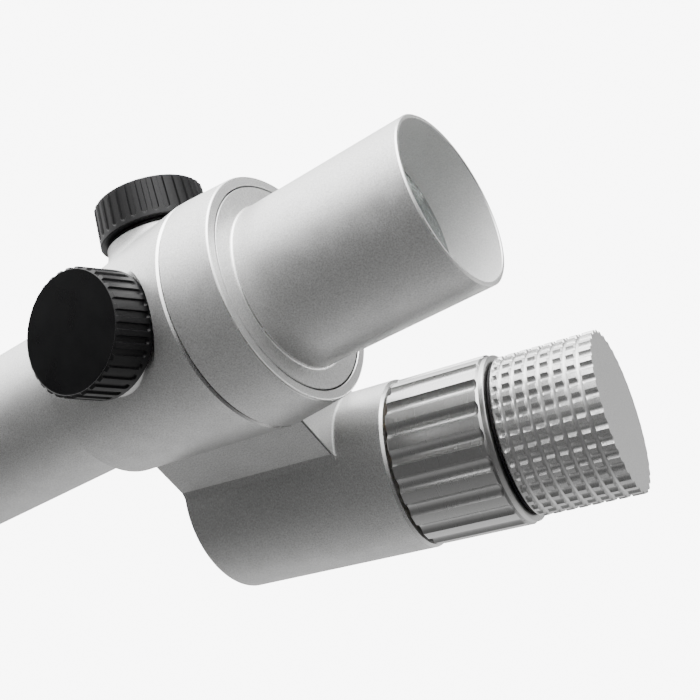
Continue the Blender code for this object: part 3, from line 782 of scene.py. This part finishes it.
def make_turret_parts(name):
    """Seal, bush, plunger and dial under one turret cap."""
    seat, place = SEATS[name], TURRETS[name]
    low, top = seat + NECK_HEIGHT + 0.3, seat + 7.0
    stand_in(name + "_cap_seal", name + "_cap_seal", "rubber",
             rounded_ring(8.25, 9.5, seat + 0.2, seat + 0.62, 0.18), place)
    stand_in(name + "_bush", ROOT, "brass", pipe(2.6, BUSH_R, 14.2, seat + NECK_HEIGHT - 0.2), place, 64)
    stem = [(0, 12.35), (1.6, 12.35), (2.2, 12.95, 0), (2.2, seat + 1.9), (0, seat + 1.9)]
    stand_in(name + "_plunger", name + "_plunger", "steel", stem, place, 64)
    crest, root_r, marks = 7.2, 7.02, 60

    def edge_of(offset, station):
        return root_r if abs(offset - 0.5) < 0.2 and station > low + 0.35 else crest

    stations = [low, low + 0.33, low + 0.4, top - 0.3]
    rim = [(crest - 0.3, top), (0, top), (0, seat + 3.0), (2.2, seat + 3.0), (2.2, low)]
    dial = relief(name + "_dial_skin", stations, (0.0, 0.29, 0.32, 0.5, 0.68, 0.71), marks, edge_of, rim,
                  place, "machined_aluminium", sharp=35.0)
    cut_slot(dial, place, (-5.2, -0.7, top - 0.8), (5.2, 0.7, top + 1))
    stand_for(dial, name + "_dial", "machined_aluminium", name + "_dial")


def make_battery_barrel():
    bore = 8.6
    threads = thread(THREAD_R, 16.0, 23.4, 0.8, 0.35)
    outline = [
        (bore, -33), (THREAD_R + 0.2, -33), (THREAD_R + 0.2, -8.3), (JOURNAL_R, -8.0), (JOURNAL_R, 4.0),
        (9.7, 4.0), (9.7, 5.6), (JOURNAL_R, 5.6), (JOURNAL_R, 14.4), (THREAD_R - 0.35, 14.4), *threads,
        (THREAD_R - 0.35, 23.8), (THREAD_R - 0.6, 24.0), (bore + 0.2, 24.0), (bore, 23.8)]
    stand_in("battery_barrel", ROOT, "machined_aluminium", outline, BATTERY, 128)
    stand_in("switch_seal", ROOT, "rubber", rounded_ring(9.9, JOURNAL_R + 0.15, 4.25, 5.35, 0.4), BATTERY)
    stand_in("switch_lock_ring", ROOT, "steel", pipe(THREAD_R + 0.3, 12.5, 14.65, 15.3), BATTERY)
    stand_in("battery_sleeve", ROOT, "liner_plastic", pipe(7.6, 8.3, -32.5, 14.0), BATTERY)


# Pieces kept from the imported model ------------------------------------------

def finish_cad_nodes():
    """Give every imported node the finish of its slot."""
    slots = {row["node"]: row["material_slot"] for row in frame["record"]["subparts"]}
    for name, node in frame["nodes"].items():
        node.data.materials.clear()
        node.data.materials.append(FINISH[slots[name]])


# Studio ---------------------------------------------------------------------

FLOOR_DROP_M = 0.20
FLOOR_R_M = 2.5
WALL_CURVE_M = 1.5
WALL_TOP_M = 4.0


def make_stage():
    """Pale floor that curves up into a wall all round."""
    base = CAD_BOX[0].z - FLOOR_DROP_M
    curve = [(FLOOR_R_M + WALL_CURVE_M * math.sin(math.radians(a)),
              base + WALL_CURVE_M * (1 - math.cos(math.radians(a)))) for a in range(0, 91, 6)]
    outline = [(0.0, base), *curve, (FLOOR_R_M + WALL_CURVE_M, WALL_TOP_M)]
    mesh_data = bmesh.new()
    rings = []
    for radius, height in outline:
        spokes = 96 if radius > 0 else 1
        rings.append([mesh_data.verts.new((radius * math.cos(math.tau * i / spokes),
                                           radius * math.sin(math.tau * i / spokes), height))
                      for i in range(spokes)])
    for lower, upper in zip(rings, rings[1:]):
        join_rings(mesh_data, lower, upper, 0)
    mesh = bpy.data.meshes.new("stage")
    mesh_data.to_mesh(mesh)
    mesh_data.free()
    mesh.shade_smooth()
    stage = bpy.data.objects.new("stage", mesh)
    mat, tree, shader = new_material("stage_paper", 0.9, 0.0, (0.9, 0.9, 0.9))
    tint(tree, noise(tree, 18.0, 2.0), (0.89, 0.89, 0.89), (0.91, 0.91, 0.91), shader)
    shader.inputs["Emission Color"].default_value = (1, 1, 1, 1)
    shader.inputs["Emission Strength"].default_value = STAGE_GLOW
    mesh.materials.append(mat)
    bpy.context.scene.collection.objects.link(stage)
    stage.visible_glossy = False
    stage.visible_diffuse = False
    stage.visible_shadow = False


STAGE_GLOW = 7.0
BASE_LIGHT = 0.02
# Soft lights: direction towards the light, dot product with it where the light starts, strength.
# The windage turret is on the right, the elevation turret is high and the eyepiece is at the rear.
LIGHTS = {
    "right": ((0.94, 0.34, 0.05), 0.5, 4.8),
    "right_rear_high": ((0.78, -0.49, 0.39), 0.5, 2.35),
    "right_rear_core": ((0.85, -0.45, 0.25), 0.72, 6.2),
    "left": ((-0.92, 0.38, -0.05), 0.5, 0.25),
    "left_rear_high": ((-0.85, -0.15, 0.5), 0.5, 0.02),
    "left_rear_low": ((-0.8, -0.45, -0.4), 0.5, 0.02),
    "left_high": ((-0.4, 0.37, 0.83), 0.5, 0.12),
    "rear": ((0.42, -0.9, -0.17), 0.5, 0.25),
    "rear_low_core": ((0.55, -0.75, -0.4), 0.76, 0.3),
    "rear_low": ((-0.1, -0.7, -0.7), 0.5, 0.6),
    "front_low": ((-0.45, 0.65, -0.6), 0.5, 0.7),
    "low": ((-0.33, 0.0, -0.94), 0.5, 0.34),
}


def make_world():
    """World light that is the sum of a low base and the soft lights."""
    world = bpy.data.worlds.new("studio")
    bpy.context.scene.world = world
    world.use_nodes = True
    tree = world.node_tree
    background = tree.nodes["Background"]
    background.inputs["Color"].default_value = (1, 1, 1, 1)
    direction = tree.nodes.new("ShaderNodeTexCoord").outputs["Generated"]
    total = None
    for axis, start, amount in LIGHTS.values():
        dot = tree.nodes.new("ShaderNodeVectorMath")
        dot.operation = "DOT_PRODUCT"
        dot.inputs[1].default_value = Vector(axis).normalized()
        tree.links.new(direction, dot.inputs[0])
        lobe = tree.nodes.new("ShaderNodeMapRange")
        lobe.interpolation_type = "SMOOTHSTEP"
        lobe.inputs["From Min"].default_value = start
        lobe.inputs["From Max"].default_value = 1.0
        lobe.inputs["To Max"].default_value = amount
        tree.links.new(dot.outputs["Value"], lobe.inputs["Value"])
        plus = tree.nodes.new("ShaderNodeMath")
        plus.operation = "ADD"
        plus.inputs[1].default_value = BASE_LIGHT
        tree.links.new(lobe.outputs["Result"], plus.inputs[0])
        if total:
            tree.links.new(total, plus.inputs[1])
        total = plus.outputs[0]
    tree.links.new(total, background.inputs["Strength"])


CAMERA_EYE = (-55.67, -162.17, 143.23)
CAMERA_BACK = (-0.38306, -0.44595, 0.80895)
CAMERA_UP = (0.87756, -0.44909, 0.16798)
CAMERA_LENS = 53.39
CAMERA_SHIFT = (0.06, -0.2143)


def make_camera():
    data = bpy.data.cameras.new("camera")
    camera = bpy.data.objects.new("camera", data)
    bpy.context.scene.collection.objects.link(camera)
    side = Vector(CAMERA_UP).cross(Vector(CAMERA_BACK))
    camera.matrix_world = frame_on(Vector(CAMERA_EYE) * MM, CAMERA_BACK, side)
    data.lens = CAMERA_LENS
    data.shift_x, data.shift_y = CAMERA_SHIFT
    data.clip_start = 0.005
    data.clip_end = 30.0
    bpy.context.scene.camera = camera


def main():
    make_camera()
    make_world()
    make_stage()
    finish_cad_nodes()
    make_eyepiece_tube()
    make_rear_collar()
    make_objective_tube()
    make_turret_housing()
    make_optics()
    for name in TURRETS:
        make_cap(name)
        make_turret_parts(name)
    make_battery_barrel()
    make_switch()
    make_battery_cap()


main()
